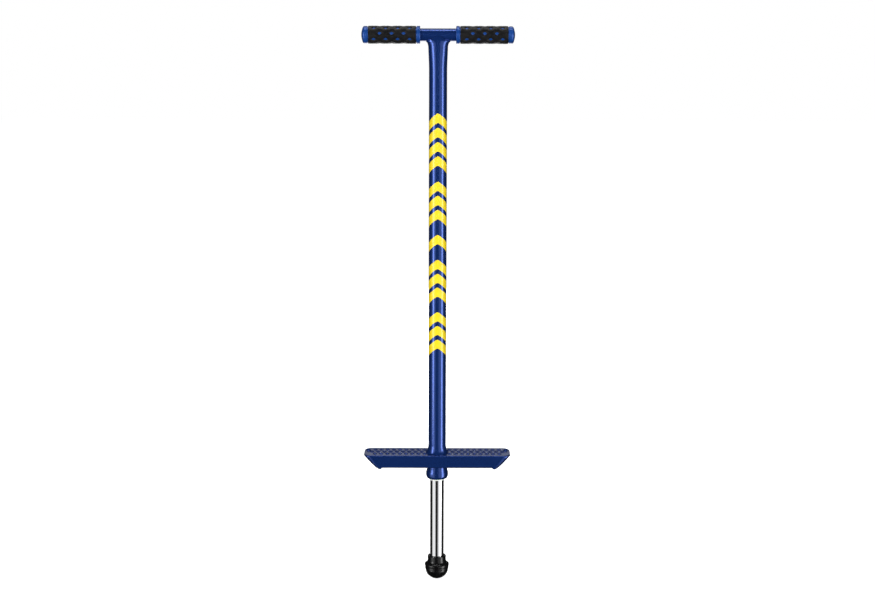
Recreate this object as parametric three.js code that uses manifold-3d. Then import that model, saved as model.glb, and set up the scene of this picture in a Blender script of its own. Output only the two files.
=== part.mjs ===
// Pogo stick. A sprung plunger with a rubber foot slides up into a steel column,
// which carries a handlebar with two rubber grips and a pressed steel footrest.
// Millimetres, +Z up. The origin is the point where the foot meets the ground.
// The handlebar and the footrest run along X, and -Y is the front.

import * as THREE from 'three';
import { mergeVertices } from 'three/addons/utils/BufferGeometryUtils.js';
import Module from 'manifold-3d';

const wasm = await Module();
wasm.setup();

// ---------------------------------------------------------------- driving dimensions

const GAP = 0.3; // clearance between pieces that touch
const FACETS = 24; // facets round a turned piece
const CUT_MARGIN = 2; // how far a cutting tool runs past the faces it cuts

const COLUMN_RADIUS = 15.9;
const COLUMN_WALL = 1.5;
const COLUMN_BOTTOM = 198;
const COLUMN_TOP = 987; // tip of the two tongues that lap the handlebar
const PINCH_START = 930; // the round tube is squeezed oval above this height
const PINCH_END = 984;
const PINCHED_HALF_WIDTH = 17.5;
const PINCHED_HALF_DEPTH = 14;

const BAR_HEIGHT = 993;
const BAR_RADIUS = 11.1;
const BAR_WALL = 1.5;
const BAR_HALF_LENGTH = 122;

// Levels of the bead round the column's top: how much wider and deeper than the squeezed
// column it is, and the height above the handlebar's underside.
const HANDLEBAR_WELD_LEVELS = [[0.6, 0.5, -8], [1.6, 0.8, -4], [5, 1.2, 0], [3, 1.5, 4], [-2, 0.6, 7.5]];

const GRIP_START = 31.4; // distances from the column's axis along the handlebar
const GRIP_FLANGE_WIDTH = 6;
const GRIP_GROOVE_WIDTH = 1;
const GRIP_RUBBER_END = 121.8;
const GRIP_END = 134;
const GRIP_FLANGE_RADIUS = 15.4;
const GRIP_GROOVE_RADIUS = 13.9;
const GRIP_CORE_RADIUS = 13.1;
const GRIP_RUBBER_RADIUS = 15.6;
const GRIP_CAP_RADIUS = 15;
const CAP_NECK_RADIUS = 14.4;
const CAP_RIM_START = 123.8;
const CAP_RIM_CHAMFER = 0.6;
const CAP_PLUG_DEPTH = 12;
const CAP_DOME_DEPTH = 5.2;
const CAP_SHOULDER = 6; // radius over which the dome turns down into the cap's side
const CAP_CROWN = 0.8; // rise of the dome's flatter middle

const WINDOW_ROWS = 8; // rows of diamond windows round the grip rubber
const WINDOW_ROW_LIFT = 12; // degrees that the first row stands above the front
const WINDOW_PITCH = 20.8;
const WINDOW_CENTRE = 81;
const WINDOW_HALF_LENGTH = 3.9;
const WINDOW_HALF_WIDTH = 3.2;

const TREAD_HEIGHT = 241.2;
const TREAD_HALF_LENGTH = 133.2;
const TREAD_HALF_DEPTH = 28;
const TREAD_EDGE_RADIUS = 2;
const FOOTREST_WALL = 2;
const FOOTREST_RIM = 218.6; // lower edge of the front and back walls
const FOOTREST_LIP_BOTTOM = 215.8; // the folded ends reach a little lower
const FOOTREST_LIP_START = 101;
const FOOTREST_BOTTOM_HALF_LENGTH = 108;
const FOOTREST_BOTTOM_CORNER = 7; // corner radii in plan
const FOOTREST_TREAD_CORNER = 14;
const END_BULGE = 0.85; // power of the end wall's curve, below 1 bows it outwards

const STUD_PITCH = 11.3;
const STUD_ROW_SPACING = 13.4;
const STUD_HEIGHT = 1.6;
const STUD_BASE_RADIUS = 3.3;
const STUD_TOP_RADIUS = 1.7;
const STUD_CLEAR_OF_COLUMN = 25;
const STUD_LAST = 122;
const END_STUD_PLACE = [125.4, 9];
const END_STUD_SCALE = 1.15;
const END_STUD_HEIGHT = 3;

const FOOTREST_WELD_HEIGHT = 14.5;
const FOOTREST_WELD_THROAT = 0.6; // thickness of the fillet's upper edge
const FOOTREST_WELD_SPREAD = [4.6, 3.2]; // how much further its foot reaches sideways and forwards

const COLLAR_BOTTOM = 193;
const COLLAR_RADIUS = 18.65;
const COLLAR_BULGE_RADIUS = 20.15;
const COLLAR_LIP = 2.7; // thickness of the lip that holds the bush up
const COLLAR_LIP_BORE = 15.3;
const COLLAR_ROLL = 1.8; // radius of the rounded lower edge
const COLLAR_BEAD = [5, 12]; // bottom and top of the bead, above the collar's bottom

const PLUNGER_RADIUS = 12.7;
const PLUNGER_WALL = 2;
const PLUNGER_BOTTOM = 17.6;
const PLUNGER_TOP = 255;
const BUSH_NOSE_BOTTOM = 190.2;
const BUSH_NOSE_RADIUS = 15;
const BUSH_TOP = 230;
const BUSH_BORE = PLUNGER_RADIUS + GAP;
const SLIDER_RADIUS = 14.05; // outside of what slides in the column's bore
const BUMPER_LENGTH = 9.7;
const HEAD_CROWN = 6.5; // solid top of the plunger head
const HEAD_SPIGOT_RADIUS = 8;
const HEAD_SPIGOT_LENGTH = 9;
const HEAD_SPIGOT_CHAMFER = 1;
const HEAD_PIN_RADIUS = 2;
const HEAD_PIN_HALF_LENGTH = 13.4;

const SPRING_TOP = 620;
const SPRING_RADIUS = 11.3; // to the middle of the wire
const WIRE_RADIUS = 2;
const SPRING_TURNS = 30;
const SPRING_STEPS_PER_TURN = 10;
const WIRE_SIDES = 5;
const CLOSED_COIL_PITCH = 4.7; // pitch of the flattened coil at each end
const WASHER_THICKNESS = 2;

const FOOT_RADIUS = 20.9;
const FOOT_DOME_DEPTH = 19.9;
const FOOT_FLAT_RADIUS = 4;
const FOOT_NECK_RADIUS = 16.75;
const FOOT_TOP = 44;
const FOOT_MOUTH_RADIUS = 1.2; // of the neck's rounded rim

// Ridge, groove, flange and shoulder of the foot, as radius and height above the dome's centre.
const FOOT_STEPS = [
  [21.6, 0.5], [21.6, 1.8], [21.1, 3.2], [21.1, 4.2], [22.3, 6.2], [22.3, 8.6], [17.95, 11.8],
  [FOOT_NECK_RADIUS, 13.6]];

// ---------------------------------------------------------------- materials

function material(color, roughness, metalness) {
  return new THREE.MeshStandardMaterial({ color, roughness, metalness });
}

const bluePaint = material(0x16408c, 0.25, 0.6);
const bluePlastic = material(0x2a5fc0, 0.4, 0);
const gripRubber = material(0x1d1d1f, 0.75, 0);
const footRubber = material(0x141415, 0.6, 0);
const chrome = material(0xe6e8ea, 0.08, 1);
const springSteel = material(0x6f7378, 0.35, 1);
const zincSteel = material(0xb4b8bc, 0.4, 1);
const whiteNylon = material(0xeeeeea, 0.5, 0);

// ---------------------------------------------------------------- helpers

// A closed mesh as a solid for cutting and joining.
function solid(geometry) {
  const bare = new THREE.BufferGeometry();
  bare.setAttribute('position', geometry.attributes.position);
  bare.setIndex(geometry.index);
  const merged = mergeVertices(bare, 1e-4);
  const corners = merged.index.array;
  const triangles = [];
  for (let i = 0; i < corners.length; i += 3) {
    const [a, b, c] = corners.subarray(i, i + 3);
    if (a !== b && b !== c && c !== a) triangles.push(a, b, c);
  }
  return new wasm.Manifold(new wasm.Mesh({
    numProp: 3,
    vertProperties: new Float32Array(merged.attributes.position.array),
    triVerts: new Uint32Array(triangles),
  }));
}

function geometryOf(manifold) {
  const { vertProperties, triVerts } = manifold.getMesh();
  const geometry = new THREE.BufferGeometry();
  geometry.setAttribute('position', new THREE.BufferAttribute(vertProperties, 3));
  geometry.setIndex(new THREE.BufferAttribute(triVerts, 1));
  geometry.computeVertexNormals();
  return geometry;
}

// A solid of revolution about Z. The profile is [radius, height] pairs, anticlockwise:
// out along the bottom, up the outside, in along the top and down the bore.
function turned(profile, facets = FACETS) {
  const points = profile.map(([radius, height]) => new THREE.Vector2(radius, height));
  if (points[0].x > 0) points.push(points[0].clone());
  return new THREE.LatheGeometry(points, facets).rotateX(Math.PI / 2);
}

function tube(outer, inner, bottom, top) {
  return turned([[inner, bottom], [outer, bottom], [outer, top], [inner, top]]);
}

function rod(radius, bottom, top) {
  return turned([[0, bottom], [radius, bottom], [radius, top], [0, top]]);
}

// Points of an elliptic arc in a profile, with angles in degrees from the outward direction.
function arc(centre, radii, from, to, steps) {
  return Array.from({ length: steps + 1 }, (_, step) => {
    const angle = THREE.MathUtils.degToRad(THREE.MathUtils.lerp(from, to, step / steps));
    return [centre[0] + radii[0] * Math.cos(angle), centre[1] + radii[1] * Math.sin(angle)];
  });
}

function range(count) {
  return Array.from({ length: count }, (_, index) => index);
}

// A closed solid through level outlines, lowest first, each anticlockwise seen from above.
function loft(outlines) {
  const corners = outlines[0].length;
  const last = outlines.length - 1;
  const ends = [outlines[0], outlines[last]].map((outline) => {
    const sum = outline.reduce((total, point) => total.add(point), new THREE.Vector3());
    return sum.divideScalar(corners);
  });
  const geometry = turned([[0, 0], ...outlines.map((_, level) => [1, level]), [0, last]], corners);
  const rows = outlines.length + 2;
  for (let column = 0; column <= corners; column++) {
    const strip = outlines.map((outline) => outline[column % corners]);
    [ends[0], ...strip, ends[1]].forEach((point, row) => {
      geometry.attributes.position.setXYZ(column * rows + row, point.x, point.y, point.z);
    });
  }
  return geometry;
}

// A level ellipse, with its points evenly spaced in direction from the middle.
function oval(halfWidth, halfDepth, height) {
  return range(FACETS).map((index) => {
    const angle = (index / FACETS) * 2 * Math.PI;
    const across = Math.sin(angle);
    const along = -Math.cos(angle);
    const radius = 1 / Math.hypot(across / halfWidth, along / halfDepth);
    return new THREE.Vector3(radius * across, radius * along, height);
  });
}

function roundedRectangle(halfLength, halfDepth, cornerRadius, height) {
  const cornerSteps = 4;
  const corners = [[1, -1, -90], [1, 1, 0], [-1, 1, 90], [-1, -1, 180]];
  return corners.flatMap(([sideX, sideY, start]) => {
    const centre = [sideX * (halfLength - cornerRadius), sideY * (halfDepth - cornerRadius)];
    const radii = [cornerRadius, cornerRadius];
    return arc(centre, radii, start, start + 90, cornerSteps)
      .map(([x, y]) => new THREE.Vector3(x, y, height));
  });
}

// ---------------------------------------------------------------- column and handlebar

function columnOutline(height, inset) {
  const squeeze = THREE.MathUtils.smoothstep(height, PINCH_START, PINCH_END);
  const halfWidth = THREE.MathUtils.lerp(COLUMN_RADIUS, PINCHED_HALF_WIDTH, squeeze) - inset;
  const halfDepth = THREE.MathUtils.lerp(COLUMN_RADIUS, PINCHED_HALF_DEPTH, squeeze) - inset;
  return oval(halfWidth, halfDepth, height);
}

// The column's outside, or its bore when inset by the wall.
function columnEnvelope(inset, bottom, top) {
  const steps = 5;
  const squeezed = range(steps + 1).map(
    (step) => THREE.MathUtils.lerp(PINCH_START, PINCH_END, step / steps));
  return loft([bottom, ...squeezed, top].map((height) => columnOutline(height, inset)));
}

function barRod(radius, halfLength) {
  return rod(radius, -halfLength, halfLength).rotateY(Math.PI / 2).translate(0, 0, BAR_HEIGHT);
}

function columnTube() {
  const outside = solid(columnEnvelope(0, COLUMN_BOTTOM, COLUMN_TOP));
  const bore = solid(columnEnvelope(COLUMN_WALL, COLUMN_BOTTOM - CUT_MARGIN, COLUMN_TOP + CUT_MARGIN));
  const saddle = solid(barRod(BAR_RADIUS + GAP, GRIP_START));
  return geometryOf(outside.subtract(bore).subtract(saddle));
}

function handlebarTube() {
  return tube(BAR_RADIUS, BAR_RADIUS - BAR_WALL, -BAR_HALF_LENGTH, BAR_HALF_LENGTH)
    .rotateY(Math.PI / 2)
    .translate(0, 0, BAR_HEIGHT);
}

// The bead that joins the column to the handlebar: a concave flare at the sides and a thin
// ridge over the tongues at the front and back.
function handlebarWeld() {
  const underBar = BAR_HEIGHT - BAR_RADIUS;
  const flare = loft(HANDLEBAR_WELD_LEVELS.map(([wider, deeper, rise]) => oval(
    PINCHED_HALF_WIDTH + wider, PINCHED_HALF_DEPTH + deeper, underBar + rise)));
  const column = columnEnvelope(-GAP, COLUMN_BOTTOM, COLUMN_TOP + GAP);
  const bar = barRod(BAR_RADIUS + GAP, GRIP_START);
  return geometryOf(solid(flare).subtract(solid(column)).subtract(solid(bar)));
}

// ---------------------------------------------------------------- grips

const RUBBER_START = GRIP_START + GRIP_FLANGE_WIDTH + GRIP_GROOVE_WIDTH;

// Turns a grip piece, modelled along +Z from the column's axis, to one side of the handlebar.
function onBar(geometry, side) {
  return geometry.rotateY((side * Math.PI) / 2).translate(0, 0, BAR_HEIGHT);
}

// Blue plastic sleeve with the flange that the thumb rests against.
function gripCore() {
  const flangeEnd = GRIP_START + GRIP_FLANGE_WIDTH;
  const bore = BAR_RADIUS + GAP;
  const edge = 1; // radius of the flange's rounded edges
  const flange = GRIP_FLANGE_RADIUS - edge;
  return turned([
    [bore, GRIP_START],
    ...arc([flange, GRIP_START + edge], [edge, edge], -90, 0, 2),
    ...arc([flange, flangeEnd - edge], [edge, edge], 0, 90, 2),
    [GRIP_GROOVE_RADIUS, flangeEnd],
    [GRIP_GROOVE_RADIUS, RUBBER_START],
    [GRIP_CORE_RADIUS, RUBBER_START],
    [GRIP_CORE_RADIUS, BAR_HALF_LENGTH],
    [bore, BAR_HALF_LENGTH],
  ]);
}

// A tapered diamond cutter that points out from the grip's axis.
function windowCutter(angle, along, side) {
  const innerRadius = GRIP_CORE_RADIUS - 0.5;
  const outerRadius = GRIP_RUBBER_RADIUS + 0.5;
  const taper = 0.8;
  const cutter = new THREE.CylinderGeometry(1, taper, outerRadius - innerRadius, 4);
  cutter.scale(WINDOW_HALF_WIDTH, 1, WINDOW_HALF_LENGTH);
  const outward = new THREE.Vector3(-side * Math.sin(angle), -Math.cos(angle), 0);
  const axial = new THREE.Vector3(0, 0, 1);
  const round = new THREE.Vector3().crossVectors(outward, axial);
  cutter.applyMatrix4(new THREE.Matrix4().makeBasis(round, outward, axial));
  const middle = outward.multiplyScalar((innerRadius + outerRadius) / 2);
  return cutter.translate(middle.x, middle.y, along);
}

// Black rubber lattice: rows of four and three diamond windows in turn.
function gripRubberSleeve(side) {
  const inner = GRIP_CORE_RADIUS + GAP;
  const rim = 0.8; // chamfer of the ends
  let sleeve = solid(turned([
    [inner, RUBBER_START + GAP],
    [GRIP_RUBBER_RADIUS - rim, RUBBER_START + GAP],
    [GRIP_RUBBER_RADIUS, RUBBER_START + GAP + rim],
    [GRIP_RUBBER_RADIUS, GRIP_RUBBER_END - rim],
    [GRIP_RUBBER_RADIUS - rim, GRIP_RUBBER_END],
    [inner, GRIP_RUBBER_END],
  ]));
  for (const row of range(WINDOW_ROWS)) {
    const angle = THREE.MathUtils.degToRad(WINDOW_ROW_LIFT + (row * 360) / WINDOW_ROWS);
    const count = row % 2 === 0 ? 3 : 4;
    for (const index of range(count)) {
      const along = WINDOW_CENTRE + (index - (count - 1) / 2) * WINDOW_PITCH;
      sleeve = sleeve.subtract(solid(windowCutter(angle, along, side)));
    }
  }
  return geometryOf(sleeve);
}

// Blue domed cap, whose plug fills the end of the handlebar.
function gripCap() {
  const neckStart = BAR_HALF_LENGTH + GAP;
  const plug = BAR_RADIUS - BAR_WALL - 2 * GAP;
  const domeStart = GRIP_END - CAP_DOME_DEPTH;
  const shoulder = [CAP_SHOULDER, CAP_DOME_DEPTH - CAP_CROWN];
  return turned([
    [0, neckStart - CAP_PLUG_DEPTH],
    [plug, neckStart - CAP_PLUG_DEPTH],
    [plug, neckStart],
    [CAP_NECK_RADIUS, neckStart],
    [CAP_NECK_RADIUS, CAP_RIM_START],
    [GRIP_CAP_RADIUS, CAP_RIM_START + CAP_RIM_CHAMFER],
    [GRIP_CAP_RADIUS, domeStart],
    ...arc([GRIP_CAP_RADIUS - CAP_SHOULDER, domeStart], shoulder, 20, 90, 4),
    [0, GRIP_END],
  ]);
}

// ---------------------------------------------------------------- footrest and collar

// Outline of the footrest at a height. Towards the bottom the end walls lean in and the
// corners get sharper.
function footrestOutline(height, inset, slopedInset) {
  const shoulder = TREAD_HEIGHT - TREAD_EDGE_RADIUS;
  const climb = THREE.MathUtils.inverseLerp(FOOTREST_LIP_BOTTOM, shoulder, height);
  const rise = THREE.MathUtils.clamp(climb, 0, 1);
  const { lerp } = THREE.MathUtils;
  const halfLength = lerp(FOOTREST_BOTTOM_HALF_LENGTH, TREAD_HALF_LENGTH, rise ** END_BULGE);
  const corner = lerp(FOOTREST_BOTTOM_CORNER, FOOTREST_TREAD_CORNER, rise);
  return roundedRectangle(halfLength - slopedInset, TREAD_HALF_DEPTH - inset, corner - inset, height);
}

function footrestOutside() {
  const shoulder = TREAD_HEIGHT - TREAD_EDGE_RADIUS;
  const steps = 4;
  const walls = range(steps + 1).map((step) => {
    const height = THREE.MathUtils.lerp(FOOTREST_LIP_BOTTOM, shoulder, step / steps);
    return footrestOutline(height, 0, 0);
  });
  const edges = [[0.7, 0.3], [1, 1]].map(([rise, inset]) => footrestOutline(
    shoulder + rise * TREAD_EDGE_RADIUS, inset * TREAD_EDGE_RADIUS, inset * TREAD_EDGE_RADIUS));
  return loft([...walls, ...edges]);
}

function footrestHollow() {
  const ceiling = TREAD_HEIGHT - FOOTREST_WALL;
  const slopedWall = FOOTREST_WALL * Math.SQRT2;
  const steps = 4;
  const walls = range(steps + 1).map((step) => {
    const height = THREE.MathUtils.lerp(FOOTREST_LIP_BOTTOM, ceiling, step / steps);
    return footrestOutline(height, FOOTREST_WALL, slopedWall);
  });
  const opening = walls[0].map((point) => point.clone().setZ(FOOTREST_LIP_BOTTOM - CUT_MARGIN));
  return loft([opening, ...walls]);
}

function stud(x, y, scale, height) {
  const root = FOOTREST_WALL / 4; // how deep the stud is rooted in the sheet
  const sides = 6;
  const [top, base] = [STUD_TOP_RADIUS * scale, STUD_BASE_RADIUS * scale];
  return new THREE.CylinderGeometry(top, base, height + root, sides)
    .rotateX(Math.PI / 2)
    .translate(x, y, TREAD_HEIGHT + (height - root) / 2);
}

// Centres of the anti-slip studs: three rows, with the middle row half a pitch along.
function studPlaces() {
  const places = [];
  for (const row of [-1, 0, 1]) {
    const shift = row === 0 ? STUD_PITCH / 2 : 0;
    for (let x = shift; x <= STUD_LAST; x += STUD_PITCH) {
      const place = new THREE.Vector2(x, row * STUD_ROW_SPACING);
      if (place.length() > STUD_CLEAR_OF_COLUMN) places.push(place);
    }
  }
  return places;
}

function footrest() {
  const hole = rod(COLUMN_RADIUS + GAP, FOOTREST_RIM, TREAD_HEIGHT + CUT_MARGIN);
  const rimCut = new THREE.BoxGeometry(2 * FOOTREST_LIP_START, 3 * TREAD_HALF_DEPTH, 2 * CUT_MARGIN)
    .translate(0, 0, FOOTREST_RIM - CUT_MARGIN);
  let body = solid(footrestOutside()).subtract(solid(footrestHollow()));
  body = body.subtract(solid(hole)).subtract(solid(rimCut));
  for (const side of [-1, 1]) {
    for (const place of studPlaces()) {
      body = body.add(solid(stud(side * place.x, place.y, 1, STUD_HEIGHT)));
    }
    const [endX, endY] = END_STUD_PLACE;
    body = body.add(solid(stud(side * endX, endY, END_STUD_SCALE, END_STUD_HEIGHT)));
  }
  return geometryOf(body);
}

// The fillet between the column and the tread.
function footrestWeld() {
  const foot = TREAD_HEIGHT + GAP;
  const steps = 5;
  const throat = COLUMN_RADIUS + FOOTREST_WELD_THROAT;
  const hollowness = 2.2; // power of the fillet's concave curve
  const fillet = loft(range(steps + 1).map((step) => {
    const rise = step / steps;
    const [wider, deeper] = FOOTREST_WELD_SPREAD.map((reach) => reach * (1 - rise) ** hollowness);
    return oval(throat + wider, throat + deeper, foot + rise * FOOTREST_WELD_HEIGHT);
  }));
  const column = rod(COLUMN_RADIUS + GAP, foot - CUT_MARGIN, foot + FOOTREST_WELD_HEIGHT + CUT_MARGIN);
  return geometryOf(solid(fillet).subtract(solid(column)));
}

// Sleeve over the column's lower end. Its bead stiffens it, and its lip holds the bush.
function lowerCollar() {
  const bore = COLUMN_RADIUS + GAP;
  const [beadBottom, beadTop] = COLLAR_BEAD.map((rise) => COLLAR_BOTTOM + rise);
  const roll = [COLLAR_ROLL, COLLAR_ROLL];
  const beadShoulder = 2; // height over which the bead runs back into the sleeve
  return turned([
    [COLLAR_LIP_BORE, COLLAR_BOTTOM],
    ...arc([COLLAR_RADIUS - COLLAR_ROLL, COLLAR_BOTTOM + COLLAR_ROLL], roll, -90, 0, 3),
    [COLLAR_BULGE_RADIUS, beadBottom],
    [COLLAR_BULGE_RADIUS, beadTop],
    [COLLAR_RADIUS, beadTop + beadShoulder],
    [COLLAR_RADIUS, TREAD_HEIGHT - FOOTREST_WALL - GAP],
    [bore, TREAD_HEIGHT - FOOTREST_WALL - GAP],
    [bore, COLLAR_BOTTOM + COLLAR_LIP],
    [COLLAR_LIP_BORE, COLLAR_BOTTOM + COLLAR_LIP],
  ]);
}

// ---------------------------------------------------------------- bushes, plunger and spring

// Nylon bush: a nose below the collar, a flange trapped under the column and a long sleeve.
function lowerGuideBush() {
  const noseChamfer = 1;
  const flangeBottom = COLLAR_BOTTOM + COLLAR_LIP + GAP;
  const flangeTop = COLUMN_BOTTOM - GAP;
  return turned([
    [BUSH_BORE, BUSH_NOSE_BOTTOM],
    [BUSH_NOSE_RADIUS - noseChamfer, BUSH_NOSE_BOTTOM],
    [BUSH_NOSE_RADIUS, BUSH_NOSE_BOTTOM + noseChamfer],
    [BUSH_NOSE_RADIUS, flangeBottom],
    [COLUMN_RADIUS, flangeBottom],
    [COLUMN_RADIUS, flangeTop],
    [SLIDER_RADIUS, flangeTop],
    [SLIDER_RADIUS, BUSH_TOP],
    [BUSH_BORE, BUSH_TOP],
  ]);
}

const BUMPER_BOTTOM = BUSH_TOP + GAP;
const HEAD_BOTTOM = BUMPER_BOTTOM + BUMPER_LENGTH + GAP;
const HEAD_CROWN_TOP = PLUNGER_TOP + GAP + HEAD_CROWN;
const PIN_HEIGHT = (HEAD_BOTTOM + PLUNGER_TOP) / 2;
const WASHER_BOTTOM = HEAD_CROWN_TOP + GAP;
const SPRING_BOTTOM = WASHER_BOTTOM + WASHER_THICKNESS + GAP;

// Rubber ring that the plunger head lands on when the stick is lifted.
function reboundBumper() {
  return tube(SLIDER_RADIUS, BUSH_BORE, BUMPER_BOTTOM, BUMPER_BOTTOM + BUMPER_LENGTH);
}

function crossRod(radius, halfLength) {
  return rod(radius, -halfLength, halfLength).rotateX(Math.PI / 2).translate(0, 0, PIN_HEIGHT);
}

function plungerTube() {
  const pipe = tube(PLUNGER_RADIUS, PLUNGER_RADIUS - PLUNGER_WALL, PLUNGER_BOTTOM, PLUNGER_TOP);
  const pinHole = crossRod(HEAD_PIN_RADIUS + GAP, COLUMN_RADIUS);
  return geometryOf(solid(pipe).subtract(solid(pinHole)));
}

// Cap on the plunger: its skirt rests on the bumper and its spigot centres the spring.
function plungerHead() {
  const spigotTop = HEAD_CROWN_TOP + HEAD_SPIGOT_LENGTH;
  const head = turned([
    [0, PLUNGER_TOP + GAP],
    [BUSH_BORE, PLUNGER_TOP + GAP],
    [BUSH_BORE, HEAD_BOTTOM],
    [SLIDER_RADIUS, HEAD_BOTTOM],
    [SLIDER_RADIUS, HEAD_CROWN_TOP],
    [HEAD_SPIGOT_RADIUS, HEAD_CROWN_TOP],
    [HEAD_SPIGOT_RADIUS, spigotTop - HEAD_SPIGOT_CHAMFER],
    [HEAD_SPIGOT_RADIUS - HEAD_SPIGOT_CHAMFER, spigotTop],
    [0, spigotTop],
  ]);
  const pinHole = crossRod(HEAD_PIN_RADIUS + GAP, COLUMN_RADIUS);
  return geometryOf(solid(head).subtract(solid(pinHole)));
}

// Centre line of the spring: a helix whose first and last turns are nearly flat.
class SpringCurve extends THREE.Curve {
  getPoint(t, target = new THREE.Vector3()) {
    const turn = t * SPRING_TURNS;
    const bottom = SPRING_BOTTOM + WIRE_RADIUS;
    const top = SPRING_TOP - WIRE_RADIUS;
    const openPitch = (top - bottom - 2 * CLOSED_COIL_PITCH) / (SPRING_TURNS - 2);
    const middleTurns = THREE.MathUtils.clamp(turn - 1, 0, SPRING_TURNS - 2);
    const closedTurns = turn - middleTurns;
    const height = bottom + middleTurns * openPitch + closedTurns * CLOSED_COIL_PITCH;
    const angle = turn * 2 * Math.PI;
    return target.set(SPRING_RADIUS * Math.cos(angle), SPRING_RADIUS * Math.sin(angle), height);
  }
}

function mainSpring() {
  const wire = new THREE.Shape(range(WIRE_SIDES).map((index) => {
    const angle = (index / WIRE_SIDES) * 2 * Math.PI;
    return new THREE.Vector2(WIRE_RADIUS * Math.cos(angle), WIRE_RADIUS * Math.sin(angle));
  }));
  const steps = SPRING_TURNS * SPRING_STEPS_PER_TURN;
  return new THREE.ExtrudeGeometry(wire, { steps, extrudePath: new SpringCurve() });
}

function springLowerWasher() {
  const washerTop = WASHER_BOTTOM + WASHER_THICKNESS;
  return tube(SLIDER_RADIUS - GAP, HEAD_SPIGOT_RADIUS + GAP, WASHER_BOTTOM, washerTop);
}

function springTopSeat() {
  const discTop = SPRING_TOP + 6;
  const spigotBottom = SPRING_TOP - HEAD_SPIGOT_LENGTH;
  return turned([
    [0, spigotBottom],
    [HEAD_SPIGOT_RADIUS - HEAD_SPIGOT_CHAMFER, spigotBottom],
    [HEAD_SPIGOT_RADIUS, spigotBottom + HEAD_SPIGOT_CHAMFER],
    [HEAD_SPIGOT_RADIUS, SPRING_TOP + GAP],
    [SLIDER_RADIUS, SPRING_TOP + GAP],
    [SLIDER_RADIUS, discTop],
    [0, discTop],
  ]);
}

// ---------------------------------------------------------------- foot

// Rubber boot: a domed sole, two ridges and a neck that grips the plunger.
function rubberFoot() {
  const flatAngle = (Math.acos(FOOT_FLAT_RADIUS / FOOT_RADIUS) * 180) / Math.PI;
  const domeCentre = FOOT_DOME_DEPTH * Math.sin((flatAngle * Math.PI) / 180);
  const socketFloor = PLUNGER_BOTTOM - WASHER_THICKNESS - 2 * GAP;
  const mouthCentre = [FOOT_NECK_RADIUS - FOOT_MOUTH_RADIUS, FOOT_TOP - FOOT_MOUTH_RADIUS];
  return turned([
    [0, 0],
    ...arc([0, domeCentre], [FOOT_RADIUS, FOOT_DOME_DEPTH], -flatAngle, 0, 5),
    ...FOOT_STEPS.map(([radius, rise]) => [radius, domeCentre + rise]),
    ...arc(mouthCentre, [FOOT_MOUTH_RADIUS, FOOT_MOUTH_RADIUS], 0, 90, 3),
    [PLUNGER_RADIUS + GAP, FOOT_TOP],
    [PLUNGER_RADIUS + GAP, socketFloor],
    [0, socketFloor],
  ]);
}

function footWasher() {
  const bottom = PLUNGER_BOTTOM - GAP - WASHER_THICKNESS;
  return rod(PLUNGER_RADIUS - GAP, bottom, bottom + WASHER_THICKNESS);
}

// ---------------------------------------------------------------- assembly

const pogoStick = new THREE.Group();

function add(name, geometry, finish, parent = pogoStick) {
  const mesh = new THREE.Mesh(geometry, finish);
  mesh.name = name;
  parent.add(mesh);
}

add('column_tube', columnTube(), bluePaint);
add('handlebar_tube', handlebarTube(), bluePaint);
add('handlebar_weld', handlebarWeld(), bluePaint);
add('footrest', footrest(), bluePaint);
add('footrest_weld', footrestWeld(), bluePaint);
add('lower_collar', lowerCollar(), bluePaint);
add('lower_guide_bush', lowerGuideBush(), whiteNylon);
add('rebound_bumper', reboundBumper(), footRubber);
add('main_spring', mainSpring(), springSteel);
add('spring_top_seat', springTopSeat(), zincSteel);
add('spring_lower_washer', springLowerWasher(), zincSteel);

for (const [sideName, side] of [['left', -1], ['right', 1]]) {
  add(`grip_core_${sideName}`, onBar(gripCore(), side), bluePlastic);
  add(`grip_rubber_${sideName}`, onBar(gripRubberSleeve(side), side), gripRubber);
  add(`grip_cap_${sideName}`, onBar(gripCap(), side), bluePlastic);
}

const plunger = new THREE.Group();
pogoStick.add(plunger);
add('plunger_tube', plungerTube(), chrome, plunger);
add('plunger_head', plungerHead(), zincSteel, plunger);
add('plunger_head_pin', crossRod(HEAD_PIN_RADIUS, HEAD_PIN_HALF_LENGTH), zincSteel, plunger);
add('foot_washer', footWasher(), zincSteel, plunger);
add('rubber_foot', rubberFoot(), footRubber, plunger);

export default pogoStick;
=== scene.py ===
"""Pogo stick: the looks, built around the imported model.

Each visible CAD node is replaced by a finely modelled mesh, and printed chevrons are added to the
column. Lengths are in metres, +Z is up, the front is -Y, and the foot meets the ground at the origin.
The main sizes come from the frame's boxes, and the finer details are named here in millimetres.
"""

import math

import bmesh
import bpy
from mathutils import Matrix, Vector, noise


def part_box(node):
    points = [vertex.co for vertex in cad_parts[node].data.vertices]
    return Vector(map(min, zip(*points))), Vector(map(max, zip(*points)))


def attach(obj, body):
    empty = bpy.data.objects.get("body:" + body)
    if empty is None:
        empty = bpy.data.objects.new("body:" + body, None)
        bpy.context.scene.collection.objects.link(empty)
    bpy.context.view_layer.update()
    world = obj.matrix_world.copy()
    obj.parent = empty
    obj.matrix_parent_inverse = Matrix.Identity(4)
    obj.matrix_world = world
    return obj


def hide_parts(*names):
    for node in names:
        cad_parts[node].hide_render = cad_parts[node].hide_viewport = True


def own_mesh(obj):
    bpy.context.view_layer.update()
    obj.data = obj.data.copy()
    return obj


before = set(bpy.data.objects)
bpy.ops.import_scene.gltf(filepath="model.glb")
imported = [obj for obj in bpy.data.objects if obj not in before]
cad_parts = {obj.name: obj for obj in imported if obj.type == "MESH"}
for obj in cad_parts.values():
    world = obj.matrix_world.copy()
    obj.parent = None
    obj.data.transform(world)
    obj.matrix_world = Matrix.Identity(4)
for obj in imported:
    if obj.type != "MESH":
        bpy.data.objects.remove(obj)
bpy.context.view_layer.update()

MM = 0.001
FACETS = 96  # facets round a round piece

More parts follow.
